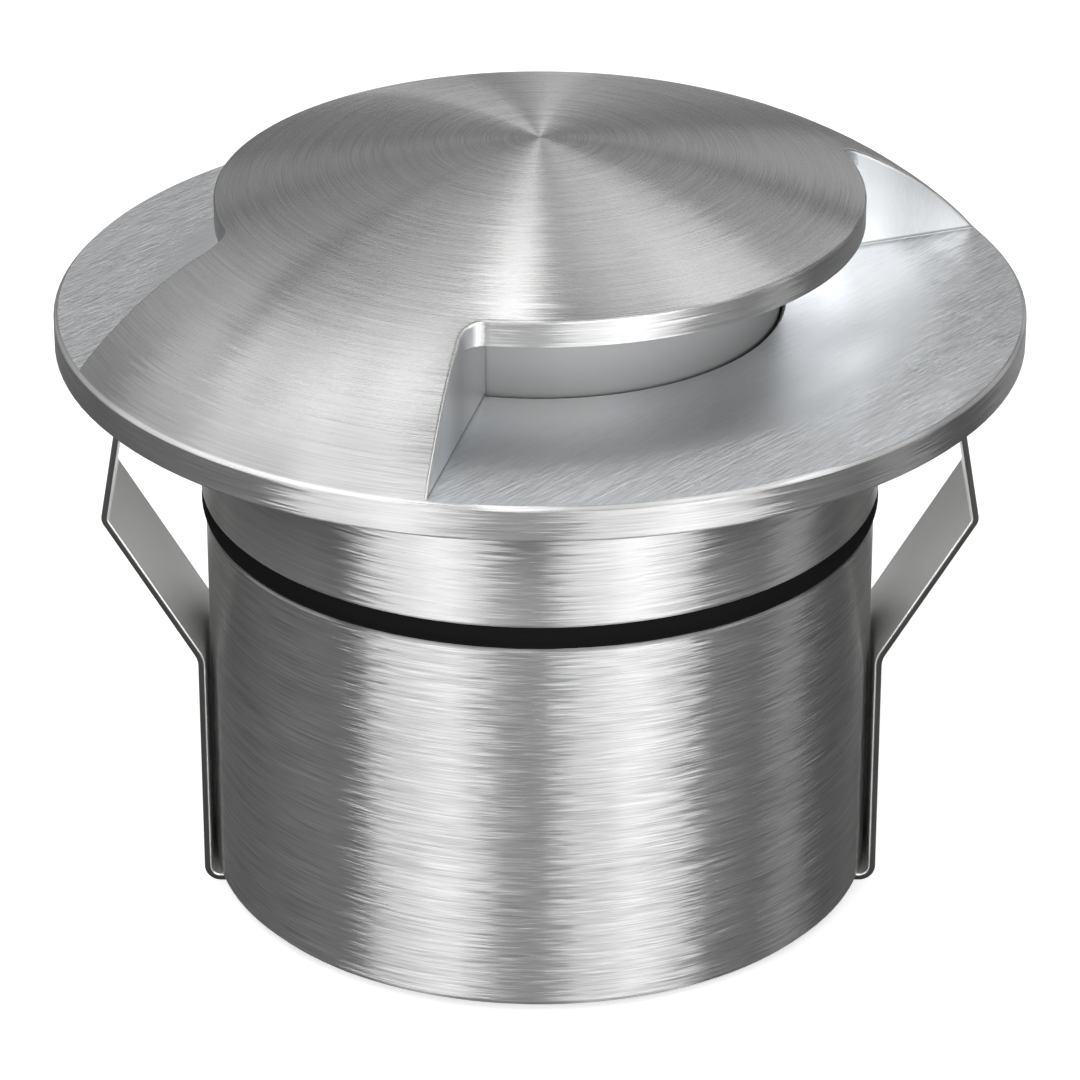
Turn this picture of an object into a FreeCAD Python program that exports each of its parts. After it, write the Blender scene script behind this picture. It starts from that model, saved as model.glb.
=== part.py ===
import FreeCAD, Part
import math
import os

import Sketcher

# A small two-window in-ground light, +Z up, in millimetres.
# The origin is on the axis, in the plane that the two clip feet stand on.
# The front is -Y, and the spring clips are on -X and +X.

doc = FreeCAD.newDocument("well_light")
sheet = doc.addObject("Spreadsheet::Sheet", "sizes")

# Driving sizes: what each is, in millimetres, degrees or a count.
SIZES = {
    # can
    "can_radius": 24.5,
    "can_bore": 23.0,
    "can_height": 29.05,
    "can_bevel": 0.55,
    "can_edge": 0.3,
    "recess_depth": 7.5,
    "can_floor": 2.5,
    # sealing ring between can and neck
    "ring_gap": 1.7,
    "ring_bulge_radius": 1.2,
    # neck, spigot and flange of the cover
    "neck_radius": 24.8,
    "neck_height": 11.7,
    "neck_edge": 0.25,
    "neck_bore": 21.4,
    "spigot_radius": 22.95,
    "spigot_drop": 6.5,
    "flange_radius": 35.0,
    "flange_thickness": 2.58,
    "flange_top_edge": 0.3,
    "flange_low_edge": 0.2,
    # dome: a flat crown arc that runs into a steeper shoulder arc
    "crown_radius": 70.0,
    "shoulder_radius": 29.0,
    "shoulder_start": 21.27,
    # windows
    "cap_radius": 23.31,
    "window_height": 6.39,
    "window_angle": 124.0,
    "window_turn": -40.5,
    "window_corner": 1.8,
    "window_edge": 0.25,
    "lens_hole": 17.5,
    "lens_hole_edge": 0.25,
    # diffuser and its seal
    "lens_radius": 17.3,
    "lens_wall": 1.6,
    "lens_top_gap": 0.2,
    "lens_edge": 0.3,
    "lens_foot_radius": 20.4,
    "lens_foot": 1.5,
    "lens_seal": 1.04,
    "lens_seal_bore": 17.9,
    # light engine
    "reflector_height": 2.8,
    "reflector_mouth": 13.5,
    "cone_top_radius": 14.0,
    "cone_tip_radius": 1.2,
    "cone_height": 6.5,
    "cone_flare": 24.0,
    "board_radius": 18.0,
    "board_thickness": 1.6,
    "pad_thickness": 0.3,
    "led_ring": 9.0,
    "led_size": 3.5,
    "led_height": 0.8,
    "led_count": 6,
    "led_well_depth": 0.3,
    "board_screw_ring": 10.8,
    # heat sink and lock ring
    "sink_radius": 21.2,
    "sink_pocket": 18.3,
    "sink_web": 4.7,
    "fin_depth": 4.0,
    "fin_thickness": 1.0,
    "fin_pitch": 2.3,
    "fin_first": 6.0,
    "lock_radius": 21.35,
    "lock_bore": 17.5,
    "lock_height": 2.8,
    "lock_slot_width": 3.0,
    "lock_slot_depth": 1.2,
    # driver
    "standoff_ring": 14.6,
    "standoff_length": 10.0,
    "standoff_radius": 2.6,
    "stud_radius": 1.45,
    "stud_length": 3.0,
    "driver_radius": 20.0,
    "cap_can_radius": 3.15,
    "cap_can_length": 7.0,
    "coil_radius": 4.2,
    "coil_section_radius": 1.9,
    "terminal_length": 10.0,
    "terminal_width": 7.0,
    "terminal_height": 6.0,
    "terminal_across": 10.0,
    "terminal_back": 8.5,
    "terminal_pitch": 5.0,
    "terminal_entry_radius": 1.4,
    # header of two pins that joins the driver to the LED board
    "pin_size": 0.64,
    "pin_pitch": 3.8,
    "pin_slot_length": 6.2,
    "pin_slot_width": 2.8,
    "pin_housing_length": 5.6,
    "pin_housing_width": 2.4,
    "pin_housing_height": 2.5,
    # cable gland and vent
    "gland_stem": 5.9,
    "gland_hole": 6.0,
    "gland_cable_bore": 2.9,
    "gland_flats": 16.0,
    "gland_washer_height": 0.6,
    "gland_washer_radius": 8.0,
    "gland_hex_height": 2.0,
    "gland_nose_radius": 6.2,
    "gland_nose_height": 2.6,
    "gland_stem_above_floor": 3.6,
    "gland_nut_height": 2.4,
    "gland_seat_radius": 5.2,
    "gland_seal_radius": 5.15,
    "gland_cap_rise": 0.8,
    "gland_cap_mouth": 3.8,
    "gland_gap": 0.2,
    "vent_hole": 3.1,
    "vent_offset": 15.5,
    "vent_flats": 8.0,
    "vent_head_height": 1.8,
    "vent_seal_height": 0.5,
    "vent_seal_radius": 3.95,
    "vent_pore": 0.8,
    # spring clips
    "strip_width": 10.5,
    "strip_thickness": 0.5,
    "strip_bend": 0.95,
    "strip_line": 24.9,
    "strip_inner_line": 21.4,
    "strip_tab_end": 14.4,
    "flex_height": 18.67,
    "flex_gap": 0.35,
    "blade_lean": 30.6,
    "blade_length": 13.23,
    "tip_lean": 9.65,
    "tip_length": 8.65,
    "clip_screw_offset": 17.2,
    # small screws
    "screw_radius": 1.2,
    "screw_head_radius": 2.2,
    "screw_head": 1.3,
    "screw_length": 4.0,
    "screw_socket": 2.0,
    "screw_clearance": 0.15,
    "clip_screw_length": 2.2,
}


class Dim:
    """A size: its value, and the formula of sheet cells that it comes from."""

    def __init__(self, value, text):
        self.value = float(value)
        self.text = text

    def __add__(self, other):
        other = dim(other)
        return Dim(self.value + other.value, f"({self.text} + {other.text})")

    def __sub__(self, other):
        other = dim(other)
        return Dim(self.value - other.value, f"({self.text} - {other.text})")

    def __mul__(self, other):
        other = dim(other)
        return Dim(self.value * other.value, f"({self.text} * {other.text})")

    def __truediv__(self, other):
        other = dim(other)
        return Dim(self.value / other.value, f"({self.text} / {other.text})")

    def __neg__(self):
        return Dim(-self.value, f"(0 - {self.text})")

    def root(self):
        return Dim(math.sqrt(self.value), f"sqrt({self.text})")

    def sine(self):
        return Dim(math.sin(math.radians(self.value)), f"sin({self.text} * 1 deg)")

    def cosine(self):
        return Dim(math.cos(math.radians(self.value)), f"cos({self.text} * 1 deg)")


def dim(value):
    """A plain number as a Dim; a Dim stays as it is."""
    return value if isinstance(value, Dim) else Dim(value, repr(float(value)))


def fill_sheet():
    for row, (alias, value) in enumerate(SIZES.items(), start=1):
        sheet.set(f"A{row}", alias)
        sheet.set(f"B{row}", str(value))
        sheet.setAlias(f"B{row}", alias)
    doc.recompute()


def size(alias):
    return Dim(sheet.get(alias), f"<<sizes>>.{alias}")


def bind(thing, name, value):
    """Give a property its size, and its formula where it has one."""
    value = dim(value)
    thing.setExpression(name, value.text)


fill_sheet()

# Heights above the plane that the feet stand on.
STRIP = size("strip_thickness")
RIM = STRIP
CAN_TOP = RIM + size("can_height")
FLOOR_LOW = RIM + size("recess_depth")
FLOOR_TOP = FLOOR_LOW + size("can_floor")
NECK_LOW = CAN_TOP + size("ring_gap")
FLANGE_LOW = NECK_LOW + size("neck_height")
FLANGE_TOP = FLANGE_LOW + size("flange_thickness")
CAP_LOW = FLANGE_TOP + size("window_height")
SPIGOT_LOW = CAN_TOP - size("spigot_drop")
LENS_TOP = CAP_LOW - size("lens_top_gap")
FOOT_TOP = FLANGE_LOW - size("lens_seal")
FOOT_LOW = FOOT_TOP - size("lens_foot")
BOARD_TOP = FOOT_LOW - size("reflector_height")
BOARD_LOW = BOARD_TOP - size("board_thickness")
PAD_LOW = BOARD_LOW - size("pad_thickness")
SINK_LOW = PAD_LOW - size("sink_web")
LOCK_LOW = SINK_LOW - size("lock_height")
DRIVER_TOP = SINK_LOW - size("standoff_length")
DRIVER_LOW = DRIVER_TOP - size("board_thickness")

# How far a cutting tool runs past the faces that it cuts.
PAST = 1.0

subparts = []


def keep(thing, label):
    """Name a finished sub-part and put it on the list of those to write."""
    thing.Label = label
    subparts.append(thing)
    return thing


# ---------------------------------------------------------------- sketches


def new_body(label):
    return doc.addObject("PartDesign::Body", label + "_body")


def new_sketch(body, role, name, offset=None, turn=None):
    """A sketch on one of the body's own origin planes, raised by offset or turned about Z."""
    sketch = body.newObject("Sketcher::SketchObject", name)
    plane = next(f for f in body.Origin.OriginFeatures if f.Role == role)
    sketch.AttachmentSupport = (plane, [""])
    sketch.MapMode = "FlatFace"
    if turn is not None:
        upright = FreeCAD.Rotation(FreeCAD.Vector(0, 1, 0), turn.value)
        sketch.AttachmentOffset = FreeCAD.Placement(FreeCAD.Vector(), upright)
        bind(sketch, "AttachmentOffset.Rotation.Angle", turn)
    if offset is not None:
        bind(sketch, "AttachmentOffset.Base.z", offset)
    return sketch


def pin_coordinate(sketch, kind, geometry, end, value):
    index = sketch.addConstraint(Sketcher.Constraint(kind, -1, 1, geometry, end, value.value))
    bind(sketch, f"Constraints[{index}]", value)


def pin_point(sketch, geometry, end, point):
    """Hold a point at its two sizes from the sketch's origin."""
    across, up = point
    for kind, value, axis in (("DistanceX", across, -2), ("DistanceY", up, -1)):
        if value.value == 0:
            sketch.addConstraint(Sketcher.Constraint("PointOnObject", geometry, end, axis))
        else:
            pin_coordinate(sketch, kind, geometry, end, value)


def arc_between(first, last, radius, bulge):
    """The arc from first to last that bulges left (1) or right (-1) of the way it runs,
    as a curve that turns left, and which of its ends is first."""
    (x1, y1), (x2, y2) = first, last
    chord = math.hypot(x2 - x1, y2 - y1)
    sag = math.sqrt(radius**2 - (chord / 2) ** 2)
    centre_x = (x1 + x2) / 2 + bulge * sag * (y2 - y1) / chord
    centre_y = (y1 + y2) / 2 - bulge * sag * (x2 - x1) / chord
    centre = FreeCAD.Vector(centre_x, centre_y, 0)
    start = math.atan2(y1 - centre_y, x1 - centre_x)
    end = math.atan2(y2 - centre_y, x2 - centre_x)
    ends = (1, 2)
    if bulge > 0:
        start, end = end, start
        ends = (2, 1)
    if end < start:
        end += 2 * math.pi
    circle = Part.Circle(centre, FreeCAD.Vector(0, 0, 1), radius)
    return Part.ArcOfCircle(circle, start, end), ends


def draw_outline(sketch, points, arcs=None):
    """A closed outline through points; arcs gives (radius, bulge) for the edge that leaves a point."""
    arcs = arcs or {}
    points = [(dim(across), dim(up)) for across, up in points]
    count = len(points)
    ends = []
    for i, point in enumerate(points):
        following = points[(i + 1) % count]
        first = (point[0].value, point[1].value)
        last = (following[0].value, following[1].value)
        if i in arcs:
            radius, bulge = arcs[i]
            curve, order = arc_between(first, last, radius.value, bulge)
        else:
            curve = Part.LineSegment(FreeCAD.Vector(*first, 0), FreeCAD.Vector(*last, 0))
            order = (1, 2)
        sketch.addGeometry(curve, False)
        ends.append(order)
    for i in range(count):
        after = (i + 1) % count
        sketch.addConstraint(Sketcher.Constraint("Coincident", i, ends[i][1], after, ends[after][0]))
    for i, point in enumerate(points):
        pin_point(sketch, i, ends[i][0], point)
    for i, (radius, _) in arcs.items():
        index = sketch.addConstraint(Sketcher.Constraint("Radius", i, radius.value))
        bind(sketch, f"Constraints[{index}]", radius)


def draw_circle(sketch, across, up, radius):
    centre = FreeCAD.Vector(dim(across).value, dim(up).value, 0)
    circle = Part.Circle(centre, FreeCAD.Vector(0, 0, 1), dim(radius).value)
    index = sketch.addGeometry(circle, False)
    pin_point(sketch, index, 3, (dim(across), dim(up)))
    held = sketch.addConstraint(Sketcher.Constraint("Radius", index, dim(radius).value))
    bind(sketch, f"Constraints[{held}]", radius)


# ---------------------------------------------------------------- features


def turned(label, points, arcs=None):
    """A body turned from its half outline of (radius, height) points."""
    body = new_body(label)
    sketch = new_sketch(body, "XZ_Plane", label + "_outline")
    draw_outline(sketch, points, arcs)
    revolution = body.newObject("PartDesign::Revolution", label + "_turned")
    revolution.Profile = sketch
    revolution.ReferenceAxis = (sketch, ["V_Axis"])
    revolution.Angle = 360
    sketch.Visibility = False
    body.Tip = revolution
    doc.recompute()
    return body


def drill(body, name, holes, low, high):
    """Cut round holes, given as (x, y, radius), from low up to high."""
    sketch = new_sketch(body, "XY_Plane", name + "_circles", offset=low)
    for across, up, radius in holes:
        draw_circle(sketch, across, up, radius)
    pocket = body.newObject("PartDesign::Pocket", name)
    pocket.Profile = sketch
    pocket.Reversed = True
    before = body.Shape.Volume
    bind(pocket, "Length", high - low)
    body.Tip = pocket
    doc.recompute()
    assert body.Shape.Volume < before, f"{name} cuts nothing"
    return pocket


def ring(label, inner, outer, low, high):
    return keep(turned(label, [(inner, low), (outer, low), (outer, high), (inner, high)]), label)


def cylinder(name, radius, low, high, across=0, up=0):
    solid = doc.addObject("Part::Cylinder", name)
    bind(solid, "Radius", radius)
    bind(solid, "Height", dim(high) - low)
    place(solid, across, up, low)
    return solid


def prism(name, flats, low, high, across=0, up=0):
    """A hexagon bar given by its size across flats."""
    solid = doc.addObject("Part::Prism", name)
    solid.Polygon = 6
    bind(solid, "Circumradius", dim(flats) / math.sqrt(3))
    bind(solid, "Height", dim(high) - low)
    place(solid, across, up, low)
    return solid


def block(name, length, width, low, high, across=0, up=0):
    """A box centred on (across, up)."""
    solid = doc.addObject("Part::Box", name)
    bind(solid, "Length", length)
    bind(solid, "Width", width)
    bind(solid, "Height", dim(high) - low)
    place(solid, dim(across) - dim(length) / 2, dim(up) - dim(width) / 2, low)
    return solid


def place(solid, across, up, low):
    for axis, value in (("x", across), ("y", up), ("z", low)):
        bind(solid, f"Placement.Base.{axis}", value)


def fused(name, solids):
    union = doc.addObject("Part::MultiFuse", name)
    union.Shapes = solids
    return union


def cut(name, base, tools):
    difference = doc.addObject("Part::Cut", name)
    difference.Base = base
    difference.Tool = tools[0] if len(tools) == 1 else fused(name + "_tools", tools)
    return difference


def around(ring_radius, count, first=0.0):
    """Points evenly round a circle, as sizes."""
    spots = []
    for i in range(count):
        turn = dim(first + 360.0 * i / count)
        spots.append((ring_radius * turn.cosine(), ring_radius * turn.sine()))
    return spots


def repeated(label, blank, spots, turn_by=None):
    """One sub-part of equal separate solids, copies of blank moved to spots of (x, y)."""
    doc.recompute()
    copies = []
    for i, (across, up) in enumerate(spots):
        copy = blank.Shape.copy()
        if turn_by:
            copy.rotate(FreeCAD.Vector(), FreeCAD.Vector(0, 0, 1), turn_by * i)
        copy.translate(FreeCAD.Vector(dim(across).value, dim(up).value, 0))
        copies.append(copy)
    feature = doc.addObject("Part::Feature", label)
    feature.Shape = Part.makeCompound(copies)
    return keep(feature, label)


# ---------------------------------------------------------------- outer pieces


def make_can():
    """The can: a turned cup whose floor is set up inside its rim, leaving a recess below."""
    radius, bore = size("can_radius"), size("can_bore")
    bevel, edge = size("can_bevel"), size("can_edge")
    hole = size("gland_hole")
    body = turned(
        "body_can",
        [
            (bore, RIM),
            (radius - bevel, RIM),
            (radius, RIM + bevel),
            (radius, CAN_TOP - edge),
            (radius - edge, CAN_TOP),
            (bore, CAN_TOP),
            (bore, FLOOR_TOP),
            (hole, FLOOR_TOP),
            (hole, FLOOR_LOW),
            (bore, FLOOR_LOW),
        ],
    )
    offset = size("clip_screw_offset")
    tapped = size("screw_radius")
    blind = FLOOR_LOW + size("can_floor") * 0.75
    drill(body, "clip_screw_holes", [(offset, 0, tapped), (-offset, 0, tapped)], FLOOR_LOW - 0.5, blind)
    vent = [(0, -size("vent_offset"), size("vent_hole"))]
    drill(body, "vent_hole_in_floor", vent, FLOOR_LOW - 0.5, FLOOR_TOP + 0.5)
    return keep(body, "body_can")


def make_body_gasket():
    """The ring that the head squeezes against the can's top: flat top and bottom, bulged outside."""
    inner = size("spigot_radius") + 0.05
    outer = size("can_radius") - 0.05
    body = turned(
        "body_gasket",
        [(inner, CAN_TOP), (outer, CAN_TOP), (outer, NECK_LOW), (inner, NECK_LOW)],
        {1: (size("ring_bulge_radius"), -1)},
    )
    return keep(body, "body_gasket")


def dome_heights():
    """Height of the apex and of the shoulder's start above the rim of the dome."""
    crown, shoulder = size("crown_radius"), size("shoulder_radius")
    start = size("shoulder_start")
    rim = size("flange_radius") - size("flange_top_edge")
    slope = (crown * crown - start * start).root() / crown
    centre = start - shoulder * start / crown
    reach = rim - centre
    shoulder_rise = shoulder * slope - (shoulder * shoulder - reach * reach).root()
    crown_rise = crown - crown * slope
    return shoulder_rise + crown_rise, shoulder_rise


def make_top_cover():
    """Cap, webs, flange, neck and spigot in one: turned, then the two windows milled out."""
    apex_rise, shoulder_rise = dome_heights()
    flange = size("flange_radius")
    top_edge, low_edge = size("flange_top_edge"), size("flange_low_edge")
    neck, spigot, bore = size("neck_radius"), size("spigot_radius"), size("neck_bore")
    neck_edge = size("neck_edge")
    lens_hole = size("lens_hole")
    body = turned(
        "top_cover",
        [
            (0, CAP_LOW),
            (lens_hole, CAP_LOW),
            (lens_hole, FLANGE_LOW),
            (bore, FLANGE_LOW),
            (bore, SPIGOT_LOW),
            (spigot, SPIGOT_LOW),
            (spigot, NECK_LOW),
            (neck - neck_edge, NECK_LOW),
            (neck, NECK_LOW + neck_edge),
            (neck, FLANGE_LOW),
            (flange - low_edge, FLANGE_LOW),
            (flange, FLANGE_LOW + low_edge),
            (flange, FLANGE_TOP - top_edge),
            (flange - top_edge, FLANGE_TOP),
            (size("shoulder_start"), FLANGE_TOP + shoulder_rise),
            (0, FLANGE_TOP + apex_rise),
        ],
        {13: (size("shoulder_radius"), -1), 14: (size("crown_radius"), -1)},
    )
    cut_windows(body)
    round_window_corners(body)
    break_window_edges(body)
    return keep(body, "top_cover")


def cut_windows(body):
    """Each window: a flat floor at the flange's top, open above outside the cap's radius."""
    edge = size("lens_hole_edge")
    lens_hole, cap = size("lens_hole"), size("cap_radius")
    inside = lens_hole - 0.6
    outside = size("flange_radius") + 1
    above = CAP_LOW + 10
    sketch = new_sketch(body, "XZ_Plane", "window_outline", turn=size("window_turn"))
    draw_outline(
        sketch,
        [
            (inside, FLANGE_TOP - edge - 0.6),
            (lens_hole + edge, FLANGE_TOP),
            (outside, FLANGE_TOP),
            (outside, above),
            (cap, above),
            (cap, CAP_LOW),
            (inside, CAP_LOW),
        ],
    )
    groove = body.newObject("PartDesign::Groove", "window")
    groove.Profile = sketch
    groove.ReferenceAxis = (sketch, ["V_Axis"])
    groove.Midplane = True
    bind(groove, "Angle", size("window_angle"))
    before = body.Shape.Volume
    body.Tip = groove
    doc.recompute()
    assert body.Shape.Volume < before - 100, "the window cuts nothing"
    pattern = body.newObject("PartDesign::PolarPattern", "windows")
    pattern.Originals = [groove]
    pattern.Axis = (next(f for f in body.Origin.OriginFeatures if f.Role == "Z_Axis"), [""])
    pattern.Angle = 360
    pattern.Occurrences = 2
    body.Tip = pattern
    doc.recompute()


def edges_where(shape, test):
    names = []
    for i, edge in enumerate(shape.Edges, start=1):
        if test(edge):
            names.append(f"Edge{i}")
    return names


def round_window_corners(body):
    """The cap's side runs into each web in a milled corner."""
    cap = size("cap_radius").value

    def upright_at_cap(edge):
        if len(edge.Vertexes) != 2:
            return False
        first, last = (v.Point for v in edge.Vertexes)
        beside = math.hypot(first.x - last.x, first.y - last.y) < 0.01
        return beside and abs(first.z - last.z) > 0.5 and abs(math.hypot(first.x, first.y) - cap) < 0.01

    base = body.Tip
    fillet = body.newObject("PartDesign::Fillet", "window_corners")
    fillet.Base = (base, edges_where(base.Shape, upright_at_cap))
    bind(fillet, "Radius", size("window_corner"))
    body.Tip = fillet
    doc.recompute()


def dome_height_at(reach):
    """The dome's height at a distance from the axis."""
    crown, shoulder = SIZES["crown_radius"], SIZES["shoulder_radius"]
    start = SIZES["shoulder_start"]
    apex_rise, shoulder_rise = dome_heights()
    if reach < start:
        return (FLANGE_TOP + apex_rise).value - crown + math.sqrt(crown**2 - reach**2)
    centre = start * (1 - shoulder / crown)
    centre_height = (FLANGE_TOP + shoulder_rise).value - shoulder * math.sqrt(1 - (start / crown) ** 2)
    return centre_height + math.sqrt(shoulder**2 - (reach - centre) ** 2)


def break_window_edges(body):
    """A small round along every edge where a window's walls and the cap's side meet the dome."""
    rim = FLANGE_TOP.value + 0.1
    cap = SIZES["cap_radius"] - 0.1

    def on_dome(edge):
        first, last = edge.FirstParameter, edge.LastParameter
        points = [edge.valueAt(first + (last - first) * k / 4) for k in range(5)]
        for point in points:
            reach = math.hypot(point.x, point.y)
            if reach < cap or abs(point.z - dome_height_at(reach)) > 0.02:
                return False
        return any(point.z > rim for point in points)

    base = body.Tip
    fillet = body.newObject("PartDesign::Fillet", "window_edges")
    fillet.Base = (base, edges_where(base.Shape, on_dome))
    bind(fillet, "Radius", size("window_edge"))
    body.Tip = fillet
    doc.recompute()


# ---------------------------------------------------------------- light engine


def make_diffuser():
    """A frosted cup, closed on top, with a foot that the seal presses on."""
    radius, wall, edge = size("lens_radius"), size("lens_wall"), size("lens_edge")
    foot = size("lens_foot_radius")
    body = turned(
        "diffuser_cup",
        [
            (0, LENS_TOP - wall),
            (radius - wall, LENS_TOP - wall),
            (radius - wall, FOOT_LOW),
            (foot, FOOT_LOW),
            (foot, FOOT_TOP),
            (radius, FOOT_TOP),
            (radius, LENS_TOP - edge),
            (radius - edge, LENS_TOP),
            (0, LENS_TOP),
        ],
    )
    keep(body, "diffuser_cup")
    ring("diffuser_gasket", size("lens_seal_bore"), foot, FOOT_TOP, FLANGE_LOW)


def make_reflectors():
    """A white ring round the LEDs, and a bright cone that hangs from the diffuser's top."""
    mouth = size("lens_radius") - size("lens_wall")
    ring_outline = [
        (size("reflector_mouth"), BOARD_TOP),
        (size("sink_radius"), BOARD_TOP),
        (size("sink_radius"), FOOT_LOW),
        (mouth, FOOT_LOW),
    ]
    keep(turned("reflector_ring", ring_outline), "reflector_ring")
    top = LENS_TOP - size("lens_wall")
    cone_outline = [
        (0, top - size("cone_height")),
        (size("cone_tip_radius"), top - size("cone_height")),
        (size("cone_top_radius"), top),
        (0, top),
    ]
    cone = turned("reflector_cone", cone_outline, {1: (size("cone_flare"), 1)})
    keep(cone, "reflector_cone")


def pin_slot(name, low, high):
    """The slot that the header's pins pass through, past both faces."""
    return block(name, size("pin_slot_length"), size("pin_slot_width"), low - PAST, high + PAST)


def board_screw_spots():
    return around(size("board_screw_ring"), 3, 90)


def make_led_board():
    """A metal-core board on its pad, with its LEDs on top and a slot for the pins."""
    radius = size("board_radius")
    slots = [pin_slot("led_board_slot", BOARD_LOW, BOARD_TOP)]
    pad_slots = [pin_slot("thermal_pad_slot", PAD_LOW, BOARD_LOW)]
    for i, (across, up) in enumerate(board_screw_spots()):
        hole = size("screw_radius") + size("screw_clearance")
        slots.append(cylinder(f"led_board_hole_{i}", hole, BOARD_LOW - PAST, BOARD_TOP + PAST, across, up))
        pad_slots.append(cylinder(f"pad_hole_{i}", hole, PAD_LOW - PAST, BOARD_LOW + PAST, across, up))
    board = cylinder("led_board_disc", radius, BOARD_LOW, BOARD_TOP)
    keep(cut("led_board", board, slots), "led_board")
    pad = cylinder("thermal_pad_disc", radius, PAD_LOW, BOARD_LOW)
    keep(cut("thermal_pad", pad, pad_slots), "thermal_pad")
    led = size("led_size")
    top = BOARD_TOP + size("led_height")
    case = block("led_case", led, led, BOARD_TOP, top)
    well = cylinder("led_well", led * 0.4, top - size("led_well_depth"), top + PAST)
    blank = cut("led_blank", case, [well])
    repeated("led_chips", blank, around(size("led_ring"), SIZES["led_count"]))


def make_heat_sink():
    """A pocketed disc that carries the board, with ring fins below."""
    radius, pocket = size("sink_radius"), size("sink_pocket")
    solids = [cylinder("sink_disc", radius, SINK_LOW, BOARD_TOP)]
    thickness, pitch = size("fin_thickness"), size("fin_pitch")
    low = SINK_LOW - size("fin_depth")
    for i in range(3):
        inner = size("fin_first") + pitch * i
        outer = cylinder(f"fin_outer_{i}", inner + thickness, low, SINK_LOW + 0.5)
        core = cylinder(f"fin_core_{i}", inner, low - PAST, SINK_LOW + PAST)
        solids.append(cut(f"fin_{i}", outer, [core]))
    whole = fused("sink_with_fins", solids)
    tools = [cylinder("sink_pocket_disc", pocket, PAD_LOW, BOARD_TOP + PAST)]
    tools.append(pin_slot("sink_slot", SINK_LOW, PAD_LOW))
    low_end = BOARD_TOP - size("screw_length") - 0.3
    for i, (across, up) in enumerate(board_screw_spots()):
        hole = size("screw_radius")
        tools.append(cylinder(f"sink_screw_hole_{i}", hole, low_end, PAD_LOW + PAST, across, up))
    for i, (across, up) in enumerate(standoff_spots()):
        stud = size("stud_radius")
        top = SINK_LOW + size("stud_length")
        tools.append(cylinder(f"sink_stud_hole_{i}", stud, SINK_LOW - PAST, top, across, up))
    keep(cut("heat_sink", whole, tools), "heat_sink")


def make_lock_ring():
    """A threaded ring with two spanner slots that clamps the stack up against the window floor."""
    outer = cylinder("lock_ring_disc", size("lock_radius"), LOCK_LOW, SINK_LOW)
    tools = [cylinder("lock_ring_bore", size("lock_bore"), LOCK_LOW - PAST, SINK_LOW + PAST)]
    across_it = size("lock_radius") * 2 + PAST
    slot_top = LOCK_LOW + size("lock_slot_depth")
    tools.append(block("lock_ring_slots", across_it, size("lock_slot_width"), LOCK_LOW - PAST, slot_top))
    keep(cut("lock_ring", outer, tools), "lock_ring")


def standoff_spots():
    return around(size("standoff_ring"), 3, 30)


def screw_blank(name, head_low, points_up=True, length=None):
    """A low-head screw on the axis, its head's lower face at head_low, its shank pointing up or down."""
    radius, head_radius = size("screw_radius"), size("screw_head_radius")
    head = size("screw_head")
    length = length or size("screw_length")
    if points_up:
        base = cylinder(name + "_head", head_radius, head_low, head_low + head)
        shank = cylinder(name + "_shank", radius, head_low + head, head_low + head + length)
        socket = prism(name + "_socket", size("screw_socket"), head_low - PAST, head_low + head * 0.6)
    else:
        base = cylinder(name + "_head", head_radius, head_low, head_low + head)
        shank = cylinder(name + "_shank", radius, head_low - length, head_low)
        above = head_low + head + PAST
        socket = prism(name + "_socket", size("screw_socket"), head_low + head * 0.4, above)
    return cut(name, fused(name + "_solid", [base, shank]), [socket])


def make_driver():
    """The driver hangs from the heat sink on three standoffs."""
    ring_radius = size("standoff_radius")
    post = prism("standoff_post", ring_radius * math.sqrt(3), DRIVER_TOP, SINK_LOW)
    stud = cylinder("standoff_stud", size("stud_radius"), SINK_LOW, SINK_LOW + size("stud_length"))
    bore_top = DRIVER_TOP + size("screw_length")
    bore = cylinder("standoff_bore", size("screw_radius"), DRIVER_TOP - PAST, bore_top)
    blank = cut("standoff_blank", fused("standoff_solid", [post, stud]), [bore])
    repeated("driver_standoffs", blank, standoff_spots())

    board = cylinder("driver_disc", size("driver_radius"), DRIVER_LOW, DRIVER_TOP)
    tools = [pin_slot("driver_slot", DRIVER_LOW, DRIVER_TOP)]
    for i, (across, up) in enumerate(standoff_spots()):
        hole = size("screw_radius") + size("screw_clearance")
        tools.append(cylinder(f"driver_hole_{i}", hole, DRIVER_LOW - PAST, DRIVER_TOP + PAST, across, up))
    keep(cut("driver_board", board, tools), "driver_board")
    under_head = DRIVER_LOW - size("screw_head")
    blank = screw_blank("driver_screw", under_head)
    repeated("driver_screws", blank, standoff_spots())

    blank = screw_blank("board_screw", BOARD_TOP, points_up=False)
    repeated("board_screws", blank, board_screw_spots())

    pin_low, pin_top = DRIVER_LOW - 1.2, BOARD_TOP + 0.8
    pins = []
    pin = size("pin_size")
    for i, side in enumerate((-0.5, 0.5)):
        pins.append(block(f"pin_{i}", pin, pin, pin_low, pin_top, size("pin_pitch") * side))
    length, width = size("pin_housing_length"), size("pin_housing_width")
    housing = block("pin_housing", length, width, DRIVER_TOP, DRIVER_TOP + size("pin_housing_height"))
    keep(fused("led_pin_header", [housing] + pins), "led_pin_header")


# Small parts on the driver board: (x, y, length, width, height).
CHIPS = [
    (0, 9.0, 5.0, 4.0, 1.7),
    (8.0, 2.5, 4.0, 3.2, 1.4),
    (-8.0, -2.0, 3.2, 2.6, 1.2),
    (5.5, -9.0, 6.5, 5.0, 2.3),
    (-5.5, 8.5, 2.0, 1.25, 0.9),
    (-3.0, -8.5, 2.0, 1.25, 0.9),
]


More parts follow.
